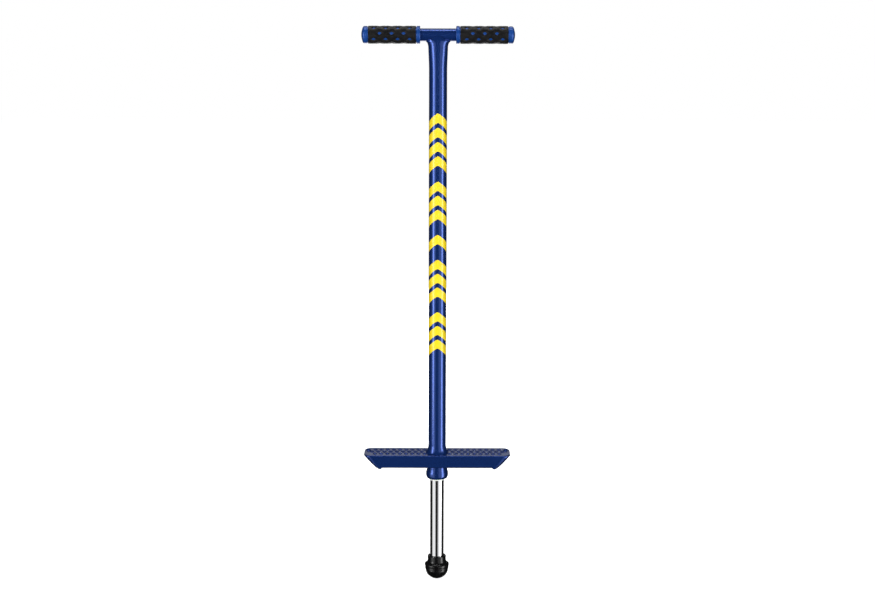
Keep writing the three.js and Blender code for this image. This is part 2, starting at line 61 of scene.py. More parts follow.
# ---- sizes from the frame

COLUMN_LOW, COLUMN_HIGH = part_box("column_tube")
BAR_LOW, BAR_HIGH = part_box("handlebar_tube")
FOOTREST_LOW, FOOTREST_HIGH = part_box("footrest")
COLLAR_LOW, COLLAR_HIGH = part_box("lower_collar")
BUSH_LOW, BUSH_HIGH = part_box("lower_guide_bush")
PLUNGER_LOW, PLUNGER_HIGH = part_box("plunger_tube")
FOOT_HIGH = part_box("rubber_foot")[1]
SPRING_LOW, SPRING_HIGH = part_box("main_spring")
CORE_LOW, CORE_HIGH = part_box("grip_core_right")
RUBBER_LOW, RUBBER_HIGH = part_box("grip_rubber_right")
CAP_LOW, CAP_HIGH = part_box("grip_cap_right")  # the left grip is built from the right one's boxes

COLUMN_RADIUS = COLUMN_HIGH.y
BAR_RADIUS = BAR_HIGH.y
BAR_AXIS = (BAR_LOW.z + BAR_HIGH.z) / 2
PLUNGER_RADIUS = PLUNGER_HIGH.x
WALL = 1.5 * MM  # of the column and the handlebar
GAP = 0.3 * MM  # clearance that the CAD pieces keep

# ---- mesh helpers

FILLET_STEPS = 5
MOST_OF_AN_EDGE = 0.49  # share of an edge that one fillet may take
ON_AXIS = 1e-9  # any smaller radius is on the axis


def smooth_object(mesh, sharp_degrees):
    """A smooth-shaded object of a mesh, with edges sharper than the given angle kept crisp."""
    mesh.polygons.foreach_set("use_smooth", [True] * len(mesh.polygons))
    mesh.set_sharp_from_angle(angle=math.radians(sharp_degrees))
    made = bpy.data.objects.new(mesh.name, mesh)
    bpy.context.scene.collection.objects.link(made)
    return made


def new_object(name, points, faces, sharp_degrees=35):
    """A smooth-shaded object made from points and faces."""
    mesh = bpy.data.meshes.new(name)
    mesh.from_pydata(points, [], faces)
    mesh.validate()
    return smooth_object(mesh, sharp_degrees)


def recalculate(mesh):
    """Points every face outwards."""
    work = bmesh.new()
    work.from_mesh(mesh)
    bmesh.ops.recalc_face_normals(work, faces=work.faces)
    work.to_mesh(mesh)
    work.free()


def finish_piece(piece, material, slot, body, *nodes):
    """Gives a piece its material and its body, and hides the CAD nodes that it stands for."""
    piece.data.materials.append(material)
    if nodes:
        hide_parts(*nodes)
    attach(piece, body)


def rounded(corners, closed=True):
    """A profile through (radius, height, fillet) corners, each rounded by its fillet."""
    count = len(corners)
    profile = []
    for index, (radius, height, fillet) in enumerate(corners):
        here = Vector((radius, height))
        inner = closed or 0 < index < count - 1
        if not fillet or not inner:
            profile.append(here)
            continue
        before = Vector(corners[index - 1][:2]) - here
        after = Vector(corners[(index + 1) % count][:2]) - here
        start = here + before.normalized() * min(fillet, before.length * MOST_OF_AN_EDGE)
        end = here + after.normalized() * min(fillet, after.length * MOST_OF_AN_EDGE)
        for step in range(FILLET_STEPS + 1):
            share = step / FILLET_STEPS
            profile.append(start.lerp(here, share).lerp(here.lerp(end, share), share))
    return [(point.x, point.y) for point in profile]


def arc(centre, radii, start, end, steps):
    """Points of an elliptic arc in a profile, with angles in degrees from the outward direction."""
    angles = [math.radians(start + (end - start) * step / steps) for step in range(steps + 1)]
    return [(centre[0] + radii[0] * math.cos(a), centre[1] + radii[1] * math.sin(a)) for a in angles]


def ring_faces(rows, columns, closed_rows, closed_columns=True):
    """Quads of a grid of rows by columns, with point number row * columns + column."""
    faces = []
    for row in range(rows if closed_rows else rows - 1):
        above = (row + 1) % rows
        for column in range(columns if closed_columns else columns - 1):
            beside = (column + 1) % columns
            faces.append((row * columns + column, row * columns + beside,
                          above * columns + beside, above * columns + column))
    return faces


def round_angles(count=FACETS):
    """Evenly spaced angles of one full turn."""
    return [2 * math.pi * index / count for index in range(count)]


def turned(name, profile, shape=None, facets=FACETS):
    """A solid of revolution about Z. A profile that starts off the axis closes on itself.

    shape(x, y, z) may move each point, to add ribs or ripples.
    """
    on_axis = profile[0][0] < ON_AXIS
    body = profile[1:-1] if on_axis else profile
    points = []
    for radius, height in body:
        for angle in round_angles(facets):
            point = (radius * math.sin(angle), -radius * math.cos(angle), height)
            points.append(shape(*point) if shape else point)
    faces = ring_faces(len(body), facets, not on_axis)
    if on_axis:
        bottom, top = len(points), len(points) + 1
        points += [(0, 0, profile[0][1]), (0, 0, profile[-1][1])]
        last = (len(body) - 1) * facets
        for column in range(facets):
            beside = (column + 1) % facets
            faces.append((bottom, beside, column))
            faces.append((top, last + column, last + beside))
    return new_object(name, points, faces)


def along_bar(piece, side):
    """Turns a piece modelled along +Z from the column's axis to one side of the handlebar."""
    piece.data.transform(Matrix.Rotation(side * math.pi / 2, 4, "Y"))
    piece.data.transform(Matrix.Translation((0, 0, BAR_AXIS)))
    return piece


def smoothstep(low, high, value):
    """0 up to low, 1 from high on, and an S-curve between them."""
    share = min(max((value - low) / (high - low), 0), 1)
    return share * share * (3 - 2 * share)


def oval_point(half_width, half_depth, angle, height):
    """A point of a level ellipse, with the angle counted from the front."""
    across, along = math.sin(angle), -math.cos(angle)
    radius = 1 / math.hypot(across / half_width, along / half_depth)
    return (radius * across, radius * along, height)


# ---- materials


class Shader:
    """A material with one Principled shader, and short calls for the nodes that feed it."""

    def __init__(self, name, **sockets):
        self.material = bpy.data.materials.new(name)
        self.material.use_nodes = True
        self.tree = self.material.node_tree
        self.shader = self.tree.nodes["Principled BSDF"]
        self.place = self.node("ShaderNodeTexCoord").outputs["Object"]
        for socket, value in sockets.items():
            self.shader.inputs[socket.replace("_", " ")].default_value = value

    def node(self, kind, **settings):
        made = self.tree.nodes.new(kind)
        for key, value in settings.items():
            setattr(made, key, value)
        return made

    def link(self, source, target):
        self.tree.links.new(source, target)

    def feed(self, source, socket):
        """Joins an output to a named input of the Principled shader."""
        self.link(source, self.shader.inputs[socket])

    def stretched(self, scale):
        """Object coordinates scaled along X, Y and Z: a small scale draws a texture out."""
        mapping = self.node("ShaderNodeMapping")
        mapping.inputs["Scale"].default_value = scale
        self.link(self.place, mapping.inputs["Vector"])
        return mapping.outputs["Vector"]

    def noise(self, scale, detail, roughness=0.55, vector=None):
        """Cloudy noise, in object coordinates unless a vector is given."""
        texture = self.node("ShaderNodeTexNoise")
        texture.inputs["Scale"].default_value = scale
        texture.inputs["Detail"].default_value = detail
        texture.inputs["Roughness"].default_value = roughness
        self.link(vector or self.place, texture.inputs["Vector"])
        return texture.outputs["Fac"]

    def cells(self, scale, output="Distance"):
        """Voronoi cells: the distance to a cell's centre, or each cell's own colour."""
        texture = self.node("ShaderNodeTexVoronoi")
        texture.inputs["Scale"].default_value = scale
        self.link(self.place, texture.inputs["Vector"])
        return texture.outputs[output]

    def ramp(self, source, first, last):
        """Maps a value to colours or greys, between two (position, colour) stops."""
        made = self.node("ShaderNodeValToRGB")
        for element, (position, colour) in zip(made.color_ramp.elements, (first, last)):
            element.position = position
            grey = (colour, colour, colour) if isinstance(colour, (int, float)) else colour
            element.color = (*grey, 1)
        self.link(source, made.inputs["Fac"])
        return made.outputs["Color"]

    def mix(self, factor, first, second):
        """Blends two colours. The factor and the colours may be values or outputs."""
        made = self.node("ShaderNodeMix", data_type="RGBA")
        for socket, value in (("Factor", factor), ("A", first), ("B", second)):
            inputs = [i for i in made.inputs if i.name == socket and i.enabled]
            if isinstance(value, bpy.types.NodeSocket):
                self.link(value, inputs[0])
            elif socket == "Factor":
                inputs[0].default_value = value
            else:
                inputs[0].default_value = (*value, 1)
        return [o for o in made.outputs if o.enabled][0]

    def bump(self, height, distance, strength, under=None):
        """A bumped normal, laid over another bump if one is given."""
        made = self.node("ShaderNodeBump")
        made.inputs["Distance"].default_value = distance
        made.inputs["Strength"].default_value = strength
        self.link(height, made.inputs["Height"])
        if under:
            self.link(under, made.inputs["Normal"])
        return made.outputs["Normal"]


def blue_paint():
    """Glossy metallic blue: flakes in the base, orange peel in the clear coat."""
    s = Shader("blue_paint", Metallic=0.65, Coat_Weight=0.4, Coat_Roughness=0.12, Coat_IOR=1.5)
    clouds = s.ramp(s.noise(9, 4), (0.3, (0.0075, 0.035, 0.185)), (0.7, (0.011, 0.042, 0.215)))
    flakes = s.ramp(s.cells(1400, "Color"), (0.0, 0.0), (1.0, 1.0))
    s.feed(s.mix(0.12, clouds, s.mix(flakes, (0.002, 0.02, 0.12), (0.03, 0.12, 0.5))), "Base Color")
    s.feed(s.ramp(s.noise(60, 5), (0.3, 0.18), (0.75, 0.24)), "Roughness")
    s.feed(s.bump(s.noise(260, 2), 0.00003, 0.35), "Normal")
    return s.material


def blue_plastic():
    """Moulded blue plastic with a fine spark-eroded grain and faint flow clouds."""
    s = Shader("blue_plastic", Metallic=0.35, Specular_IOR_Level=0.4, Coat_Weight=0.35, Coat_Roughness=0.2)
    s.feed(s.ramp(s.noise(35, 4), (0.3, (0.008, 0.056, 0.27)), (0.7, (0.012, 0.072, 0.325))), "Base Color")
    s.feed(s.ramp(s.noise(220, 4), (0.3, 0.3), (0.75, 0.46)), "Roughness")
    s.feed(s.bump(s.noise(1500, 3), 0.000008, 0.4), "Normal")
    return s.material


def grip_rubber():
    """Soft black rubber with a fine pebble grain and a little dust in patches."""
    s = Shader("grip_rubber", Specular_IOR_Level=0.26, Sheen_Weight=0.02, Sheen_Roughness=0.5)
    dust = s.ramp(s.noise(55, 5), (0.4, (0.005, 0.005, 0.0055)), (0.8, (0.011, 0.0107, 0.0107)))
    s.feed(dust, "Base Color")
    s.feed(s.ramp(s.noise(170, 4), (0.3, 0.36), (0.75, 0.52)), "Roughness")
    grain = s.bump(s.cells(1300), 0.00006, 0.6)
    s.feed(s.bump(s.noise(240, 3), 0.00008, 0.4, grain), "Normal")
    return s.material


def foot_rubber():
    """Dense black rubber, satin, with a fine grain and light scuffs."""
    s = Shader("foot_rubber", Specular_IOR_Level=0.44)
    scuffs = s.noise(90, 6, 0.7, s.stretched((1, 1, 0.35)))
    s.feed(s.ramp(scuffs, (0.45, (0.0026, 0.0026, 0.0028)), (0.85, (0.009, 0.009, 0.0094))), "Base Color")
    s.feed(s.ramp(scuffs, (0.35, 0.17), (0.8, 0.32)), "Roughness")
    s.feed(s.bump(s.noise(420, 4), 0.00006, 0.5), "Normal")
    return s.material


def chrome():
    """Bright chrome plate with faint vertical rub marks from the bush."""
    s = Shader("chrome", Metallic=1.0)
    rubs = s.noise(500, 4, 0.6, s.stretched((1, 1, 0.012)))
    s.feed(s.ramp(rubs, (0.3, (0.9, 0.9, 0.91)), (0.75, (0.82, 0.825, 0.84))), "Base Color")
    s.feed(s.ramp(rubs, (0.35, 0.035), (0.8, 0.085)), "Roughness")
    s.feed(s.bump(rubs, 0.000004, 0.2), "Normal")
    return s.material


def spring_steel():
    """Oiled dark spring steel, slightly mottled."""
    s = Shader("spring_steel", Metallic=1.0)
    s.feed(s.ramp(s.noise(120, 5), (0.3, (0.16, 0.165, 0.175)), (0.75, (0.33, 0.33, 0.34))), "Base Color")
    s.feed(s.ramp(s.noise(300, 4), (0.3, 0.24), (0.75, 0.42)), "Roughness")
    s.feed(s.bump(s.noise(900, 3), 0.00003, 0.4), "Normal")
    return s.material


def zinc_steel():
    """Zinc plate with a faint spangle."""
    s = Shader("zinc_steel", Metallic=1.0)
    s.feed(s.ramp(s.cells(350, "Color"), (0.0, (0.5, 0.52, 0.54)), (1.0, (0.66, 0.67, 0.68))), "Base Color")
    s.feed(s.ramp(s.noise(260, 4), (0.3, 0.28), (0.75, 0.45)), "Roughness")
    s.feed(s.bump(s.noise(1100, 3), 0.00002, 0.4), "Normal")
    return s.material


def white_nylon():
    """Natural white nylon, slightly translucent, with machining rings."""
    s = Shader("white_nylon", Subsurface_Weight=0.15, Subsurface_Scale=0.002)
    s.feed(s.ramp(s.noise(80, 4), (0.3, (0.8, 0.8, 0.77)), (0.7, (0.88, 0.88, 0.86))), "Base Color")
    s.feed(s.ramp(s.noise(300, 3), (0.3, 0.38), (0.7, 0.5)), "Roughness")
    s.feed(s.bump(s.noise(900, 2, 0.5, s.stretched((0.05, 0.05, 1))), 0.00003, 0.4), "Normal")
    return s.material


def yellow_film():
    """Screen-printed yellow film with slightly uneven ink."""
    s = Shader("yellow_film", Coat_Weight=0.5, Coat_Roughness=0.12)
    s.feed(s.ramp(s.noise(70, 5), (0.3, (0.8, 0.58, 0.006)), (0.7, (0.86, 0.66, 0.012))), "Base Color")
    s.feed(s.ramp(s.noise(240, 4), (0.3, 0.34), (0.75, 0.46)), "Roughness")
    s.feed(s.bump(s.noise(700, 3), 0.00002, 0.35), "Normal")
    return s.material


def pale_floor():
    """White seamless paper that glows, with painted shade: its glow is dimmer close round the foot and full
    white further out.
    """
    s = Shader("pale_floor", Roughness=0.9, Specular_IOR_Level=0.0)
    s.feed(s.ramp(s.noise(3, 5), (0.3, (0.5, 0.5, 0.5)), (0.7, (0.52, 0.52, 0.52))), "Base Color")
    distance = s.node("ShaderNodeVectorMath", operation="LENGTH")
    s.link(s.place, distance.inputs[0])
    # painted light and shade: the floor glows, less close round the foot where a shadow would fall
    painted_glow = s.ramp(distance.outputs["Value"], (0.04, 0.8), (0.4, 1.0))
    s.feed(painted_glow, "Emission Color")
    s.shader.inputs["Emission Strength"].default_value = 1.0
    return s.material


PAINT = blue_paint()
PLASTIC = blue_plastic()
GRIP_RUBBER = grip_rubber()
FOOT_RUBBER = foot_rubber()
CHROME = chrome()
SPRING_STEEL = spring_steel()
ZINC = zinc_steel()
NYLON = white_nylon()
YELLOW = yellow_film()

# ---- column and handlebar

PINCH_LENGTH = 57 * MM  # the tube is squeezed oval over this length below its top
PINCH_DONE = 3 * MM  # and has its final section this far below the top
PINCHED_HALF_WIDTH = COLUMN_HIGH.x
PINCHED_HALF_DEPTH = 14 * MM
COLUMN_END = BAR_AXIS - BAR_RADIUS - GAP  # where the weld bead takes over from the tube


def column_section(angle, height, inset):
    """A point of the column's wall, set in from its outside."""
    squeeze = smoothstep(COLUMN_HIGH.z - PINCH_LENGTH, COLUMN_HIGH.z - PINCH_DONE, height)
    half_width = COLUMN_RADIUS + (PINCHED_HALF_WIDTH - COLUMN_RADIUS) * squeeze - inset
    half_depth = COLUMN_RADIUS + (PINCHED_HALF_DEPTH - COLUMN_RADIUS) * squeeze - inset
    return oval_point(half_width, half_depth, angle, height)


def build_column():
    """The round tube, squeezed wider and flatter towards its top, with its bore."""
    straight_rows, squeezed_rows = 6, 30
    squeeze_start = COLUMN_HIGH.z - PINCH_LENGTH
    rows = straight_rows + squeezed_rows
    points = []
    for inset, order in ((0, range(rows + 1)), (WALL, range(rows, -1, -1))):
        for row in order:
            if row < straight_rows:
                share = row / straight_rows
                height = COLUMN_LOW.z + (squeeze_start - COLUMN_LOW.z) * share
            else:
                share = (row - straight_rows) / squeezed_rows
                height = squeeze_start + (COLUMN_END - squeeze_start) * share
            points += [column_section(angle, height, inset) for angle in round_angles()]
    piece = new_object("column", points, ring_faces(2 * (rows + 1), FACETS, True))
    finish_piece(piece, PAINT, "blue_paint", "frame", "column_tube")


def build_handlebar():
    """The straight tube across the top of the column."""
    half, bore, edge = BAR_HIGH.x, BAR_RADIUS - WALL, 0.4 * MM
    profile = rounded([
        (bore, -half, edge), (BAR_RADIUS, -half, edge), (BAR_RADIUS, half, edge), (bore, half, edge)])
    piece = along_bar(turned("handlebar", profile), 1)
    finish_piece(piece, PAINT, "blue_paint", "frame", "handlebar_tube")


def catmull(values, position):
    """Smooth interpolation through evenly spaced rows of numbers."""
    index = min(int(position), len(values) - 2)
    share = position - index
    picked = [values[min(max(index + step, 0), len(values) - 1)] for step in (-1, 0, 1, 2)]
    result = []
    for before, start, end, after in zip(*picked):
        bend = 3 * (start - end) + after - before
        curve = 2 * before - 5 * start + 4 * end - after
        result.append(start + 0.5 * share * (end - before + share * (curve + share * bend)))
    return result


WANDER_ROUND, WANDER_UP = 2, 60  # scales of the noise that makes a bead uneven, round it and up it
WANDER_SHIFT = 0.6  # radians that the noise moves a ripple
WANDER_SWELL = 0.4  # share of a ripple that the noise adds
RIPPLE_MIDDLE = 0.6  # about the mean of a scallop


def weld_ripple(angle, height, beads, amount):
    """The scalloped surface that a hand-laid bead leaves under paint."""
    place = (math.sin(angle) * WANDER_ROUND, math.cos(angle) * WANDER_ROUND, height * WANDER_UP)
    wander = noise.noise(Vector(place))
    scallop = abs(math.sin(beads * angle / 2 + WANDER_SHIFT * wander))
    return amount * (scallop - RIPPLE_MIDDLE + WANDER_SWELL * wander)


BEAD_RIPPLES = 30
BEAD_RIPPLE = 0.1 * MM
BEAD_THICKNESS = 2 * MM  # most of it lies in the joint
WELD_SPOT_PLACE = 13.4 * MM  # distance of the bead's thick spots from the middle
WELD_SPOT_RISE = 4.3 * MM  # and their height above the handlebar's underside
WELD_SPOT_SIZE = 1.7 * MM
WELD_SPOT_SWELL = 1.1 * MM
WELD_SPOT_DEPTH = 5 * MM  # a spot is at least this far to the front or the back


def weld_spot(x, y, rise):
    """Share, from 0 to 1, of the swelling where each pass starts, at the front and the back."""
    away = math.hypot(abs(x) - WELD_SPOT_PLACE, rise - WELD_SPOT_RISE)
    return math.exp(-(away / WELD_SPOT_SIZE) ** 2) if abs(y) > WELD_SPOT_DEPTH else 0


def build_handlebar_weld():
    """The bead round the column's top: a concave flare at the sides, a ramp at the front and the back."""
    under_bar = BAR_AXIS - BAR_RADIUS
    levels = [  # half width and half depth beyond the column's, and height above under_bar, in mm
        (0.1, 0.1, -8), (0.6, 0.25, -5), (1.7, 0.35, -2.4), (3.9, 0.25, 0),
        (2.7, -0.15, 2.8), (-1.2, -0.8, 5.6), (-5.8, -1.6, 8.4), (-12, -2.75, 12.2)]
    rows = 36
    points = []
    for inset, order in ((0, range(rows + 1)), (BEAD_THICKNESS, range(rows, -1, -1))):
        for row in order:
            wide, deep, rise = [value * MM for value in catmull(levels, row / rows * (len(levels) - 1))]
            swell = math.sin(math.pi * row / rows)
            height = under_bar + rise
            for angle in round_angles():
                ripple = weld_ripple(angle, height, BEAD_RIPPLES, BEAD_RIPPLE) * swell
                x, y, _ = oval_point(PINCHED_HALF_WIDTH + wide, PINCHED_HALF_DEPTH + deep, angle, height)
                ripple += WELD_SPOT_SWELL * weld_spot(x, y, rise)
                points.append(oval_point(
                    PINCHED_HALF_WIDTH + wide + ripple - inset,
                    PINCHED_HALF_DEPTH + deep + ripple - inset, angle, height))
    piece = new_object("handlebar_weld_bead", points, ring_faces(2 * (rows + 1), FACETS, True))
    finish_piece(piece, PAINT, "blue_paint", "frame", "handlebar_weld")


# ---- grips

GRIP_FLANGE_RADIUS = (CORE_HIGH.z - CORE_LOW.z) / 2
GRIP_RUBBER_RADIUS = (RUBBER_HIGH.z - RUBBER_LOW.z) / 2
GRIP_CAP_RADIUS = (CAP_HIGH.z - CAP_LOW.z) / 2
GRIP_CORE_RADIUS = 13.1 * MM
FLANGE_WIDTH = 6 * MM
RUBBER_BORE_RADIUS = GRIP_CORE_RADIUS + 0.15 * MM
RUBBER_CHAMFER = 0.6 * MM  # on the ends of the rubber

WINDOW_ROWS = 8
WINDOW_ROW_LIFT = math.radians(12)  # turn of the first row above the front
WINDOW_PITCH = 20.8 * MM
WINDOW_CENTRE = 81 * MM  # middle of the rows along the handlebar
WINDOW_HALF_LENGTH = 3.6 * MM
WINDOW_HALF_WIDTH = 3.1 * MM
# A window's bevel from outside in: margin round the window and drop below the rubber, in mm.
WINDOW_BEVEL = ((4.2, 0.12), (3, 0.42), (1.9, 0.78), (1, 1.08), (0.5, 1.26), (0.2, 1.46), (0, 1.7))
WINDOW_POWER = 1.35  # superellipse power of a window: 1 is a sharp diamond, 2 an oval
CELL_EDGE_STEPS = 8
MERGE = 0.02 * MM  # lattice points closer than this are one point


def build_grip_core(side, side_name):
    """The blue sleeve under the rubber, with a flange and a short neck beside it."""
    start, end = CORE_LOW.x, CORE_HIGH.x
    flange_end = start + FLANGE_WIDTH
    neck = GRIP_CORE_RADIUS + 0.8 * MM
    bore = BAR_RADIUS + GAP
    profile = rounded([
        (bore, start, 0.3 * MM), (GRIP_FLANGE_RADIUS, start, 1.3 * MM),
        (GRIP_FLANGE_RADIUS, flange_end, 1.3 * MM), (neck, flange_end, 0.3 * MM),
        (neck, RUBBER_LOW.x - GAP, 0), (GRIP_CORE_RADIUS, RUBBER_LOW.x - GAP, 0),
        (GRIP_CORE_RADIUS, end, 0.3 * MM), (bore, end, 0.3 * MM)])
    piece = along_bar(turned(f"grip_sleeve_{side_name}", profile), side)
    finish_piece(piece, PLASTIC, "blue_plastic", "frame", f"grip_core_{side_name}")


def build_grip_cap(side, side_name):
    """The domed end cap with its plug in the handlebar and a moulding pit in its middle."""
    plug_start, rim_start, end = CAP_LOW.x, CORE_HIGH.x + 1.8 * MM, CAP_HIGH.x
    plug = BAR_RADIUS - WALL - 2 * GAP
    neck = GRIP_CAP_RADIUS - 0.7 * MM
    dome_start = end - 6.2 * MM
    shoulder = 5.2 * MM
    dome = arc((GRIP_CAP_RADIUS - shoulder, dome_start), (shoulder, 4.4 * MM), 0, 78, 12)
    crown = arc((0, end - 3.2 * MM), (GRIP_CAP_RADIUS - shoulder * 0.8, 3.2 * MM), 60, 90, 8)
    gate_pit = [(1.6 * MM, end - 0.05 * MM), (1.2 * MM, end - 0.5 * MM), (0, end - 0.5 * MM)]
    profile = [(0, plug_start), (plug - MM, plug_start), (plug, plug_start + MM),
               (plug, BAR_HIGH.x + GAP), (neck, BAR_HIGH.x + GAP), (neck, rim_start),
               (GRIP_CAP_RADIUS - 0.4 * MM, rim_start), (GRIP_CAP_RADIUS, rim_start + 0.4 * MM),
               *dome, *[p for p in crown if 2 * MM < p[0] < dome[-1][0]], *gate_pit]
    piece = along_bar(turned(f"grip_end_cap_{side_name}", profile), side)
    finish_piece(piece, PLASTIC, "blue_plastic", "frame", f"grip_cap_{side_name}")


def window_cell(work, row_angle, centre, side, has_window):
    """One rhombus of the rubber lattice as a thick patch, with a diamond window or plain."""
    half_length = WINDOW_PITCH / 2
    half_angle = 2 * math.pi / WINDOW_ROWS  # a rhombus reaches the middles of the rows beside it
    corners = [(1, 0), (0, 1), (-1, 0), (0, -1), (1, 0)]
    border = []
    for (x0, y0), (x1, y1) in zip(corners, corners[1:]):
        for step in range(CELL_EDGE_STEPS):
            share = step / CELL_EDGE_STEPS
            border.append((x0 + (x1 - x0) * share, y0 + (y1 - y0) * share))

    def place(along, turn, radius):
        """A point at a distance along the bar, turned up from the row's middle."""
        lift = row_angle + turn
        return work.verts.new((side * along, -radius * math.cos(lift), BAR_AXIS + radius * math.sin(lift)))

    def outline(margin, radius):
        """The window's outline, grown by a margin, at a radius from the bar's axis."""
        ring = []
        for x, y in border:
            angle = math.atan2(y, x)
            c, s = abs(math.cos(angle)), abs(math.sin(angle))
            reach = (c**WINDOW_POWER + s**WINDOW_POWER) ** (-1 / WINDOW_POWER)
            along = centre + math.cos(angle) * reach * (WINDOW_HALF_LENGTH + margin)
            arc_length = math.sin(angle) * reach * (WINDOW_HALF_WIDTH + margin)
            ring.append(place(along, arc_length / GRIP_RUBBER_RADIUS, radius))
        return ring

    def edge(radius):
        """The border of the rhombus at a radius from the bar's axis."""
        return [place(centre + x * half_length, y * half_angle, radius) for x, y in border]

    top, bottom = edge(GRIP_RUBBER_RADIUS), edge(RUBBER_BORE_RADIUS)
    if not has_window:
        for ring, radius in ((top, GRIP_RUBBER_RADIUS), (bottom, RUBBER_BORE_RADIUS)):
            middle = place(centre, 0, radius)
            for index in range(len(ring)):
                work.faces.new((middle, ring[index], ring[(index + 1) % len(ring)]))
        return
    rings = [top]
    for margin, drop in WINDOW_BEVEL:
        rings.append(outline(margin * MM, GRIP_RUBBER_RADIUS - drop * MM))
    rings += [outline(-0.2 * MM, RUBBER_BORE_RADIUS), outline(1.5 * MM, RUBBER_BORE_RADIUS), bottom]
    for outer, inner in zip(rings, rings[1:]):
        for index in range(len(outer)):
            beside = (index + 1) % len(outer)
            work.faces.new((outer[index], outer[beside], inner[beside], inner[index]))


def build_grip_rubber(side, side_name):
    """Black rubber lattice: rows of three and four diamond windows round the blue sleeve."""
    start, end = RUBBER_LOW.x, RUBBER_HIGH.x
    full_start, full_end = start + RUBBER_CHAMFER, end - RUBBER_CHAMFER  # between the chamfers
    work = bmesh.new()
    for row in range(WINDOW_ROWS):
        angle = WINDOW_ROW_LIFT + row * 2 * math.pi / WINDOW_ROWS
        windows = 3 if row % 2 == 0 else 4
        cells = windows + 2
        for index in range(cells):
            centre = WINDOW_CENTRE + (index - (cells - 1) / 2) * WINDOW_PITCH
            window_cell(work, angle, centre, side, 0 < index < cells - 1)
    bmesh.ops.remove_doubles(work, verts=work.verts, dist=MERGE)
    cuts = [(full_start, False), (full_end, False), (start, True), (end, True)]
    for place, clear in cuts:
        outward = side * (1 if place > WINDOW_CENTRE else -1)
        everything = work.verts[:] + work.edges[:] + work.faces[:]
        bmesh.ops.bisect_plane(work, geom=everything, plane_co=(side * place, 0, 0),
                               plane_no=(outward, 0, 0), clear_outer=clear, dist=0.01 * MM)
    for vertex in work.verts:
        along = side * vertex.co.x
        past = max(full_start - along, along - full_end, 0)
        spoke = Vector((0, vertex.co.y, vertex.co.z - BAR_AXIS))
        on_outside = spoke.length > GRIP_RUBBER_RADIUS - 0.2 * MM
        if past > 0 and on_outside:
            vertex.co -= spoke.normalized() * past
    for place in (start, end):
        rim = [e for e in work.edges if e.is_boundary
               and all(abs(side * v.co.x - place) < MERGE for v in e.verts)]
        bmesh.ops.bridge_loops(work, edges=rim)
    bmesh.ops.recalc_face_normals(work, faces=work.faces)
    mesh = bpy.data.meshes.new(f"grip_lattice_{side_name}")
    work.to_mesh(mesh)
    work.free()
    piece = smooth_object(mesh, sharp_degrees=50)
    finish_piece(piece, GRIP_RUBBER, "grip_rubber", "frame", f"grip_rubber_{side_name}")


# ---- footrest

END_STUD_RISE = 3 * MM
TREAD = FOOTREST_HIGH.z - END_STUD_RISE
FOOTREST_EDGE = 2 * MM  # radius of the tread's rounded edge
FOOTREST_SHEET = 2 * MM
TREAD_CORNER = 14 * MM  # corner radii in plan
FOOTREST_BOTTOM_CORNER = 7 * MM
FOOTREST_RIM_RISE = 2.8 * MM  # the long rims end this far above the ends' lower edges
FOOTREST_LIP_START = 101 * MM  # distance from the middle where the rims come down to the ends
FOOTREST_LIP_BLEND = 2 * MM  # half the length over which they do
FOOTREST_LEAN = FOOTREST_HIGH.x - 108 * MM  # how far an end wall leans in
END_BULGE = 0.85  # power of an end wall's section: below 1 it bulges outwards

STUD_PITCH = 11.3 * MM
STUD_ROW_SPACING = 13.4 * MM
STUD_RISE = 1.6 * MM
STUD_RADIUS = 4.2 * MM
STUD_LAST = 122 * MM  # no stud of the rows is further out than this
STUD_CLEAR_OF_COLUMN = 25 * MM  # and none is closer to the column's axis than this
STUD_CREST = 0.55  # share of a stud's radius where its rim is highest
STUD_DIMPLE = 0.35  # share of its rise that is left in the middle
END_STUD_PLACE = Vector((125.4 * MM, 9 * MM))
END_STUD_RADIUS = STUD_RADIUS * 1.1
TREAD_STEP = STUD_PITCH / 13  # spacing of the tread's mesh along its middle


def stud_places():
    """(centre, rise, radius) of each anti-slip stud, for both sides."""
    studs = []
    for row in (-1, 0, 1):
        x = STUD_PITCH / 2 if row == 0 else 0
        while x <= STUD_LAST:
            place = Vector((x, row * STUD_ROW_SPACING))
            if place.length > STUD_CLEAR_OF_COLUMN:
                studs += [(Vector((side * place.x, place.y)), STUD_RISE, STUD_RADIUS) for side in (-1, 1)]
            x += STUD_PITCH
    for side in (-1, 1):
        place = Vector((side * END_STUD_PLACE.x, END_STUD_PLACE.y))
        studs.append((place, END_STUD_RISE, END_STUD_RADIUS))
    return studs


def stud_height(distance, rise, radius):
    """Section of a pressed stud: a soft skirt, a rounded rim and a dimple in the middle."""
    share = distance / radius
    if share >= 1:
        return 0.0
    if share > STUD_CREST:
        return rise * (1 - smoothstep(STUD_CREST, 1, share))
    return rise * (STUD_DIMPLE + (1 - STUD_DIMPLE) * smoothstep(0, STUD_CREST, share))


def tread_lift(studs, x, y):
    """Height of the studs at a point of the tread, from studs sorted into columns of one pitch."""
    near = round(x / STUD_PITCH)
    around = [stud for column in (near - 1, near, near + 1) for stud in studs.get(column, [])]
    heights = [stud_height(math.hypot(x - c.x, y - c.y), rise, radius) for c, rise, radius in around]
    return max(heights, default=0)


def rim_place(key, half_length, half_depth, corner):
    """A point of a rounded rectangle. The key is its share of each half side and its normal."""
    share_x, share_y, normal_x, normal_y = key
    return (share_x * (half_length - corner) + normal_x * corner,
            share_y * (half_depth - corner) + normal_y * corner)


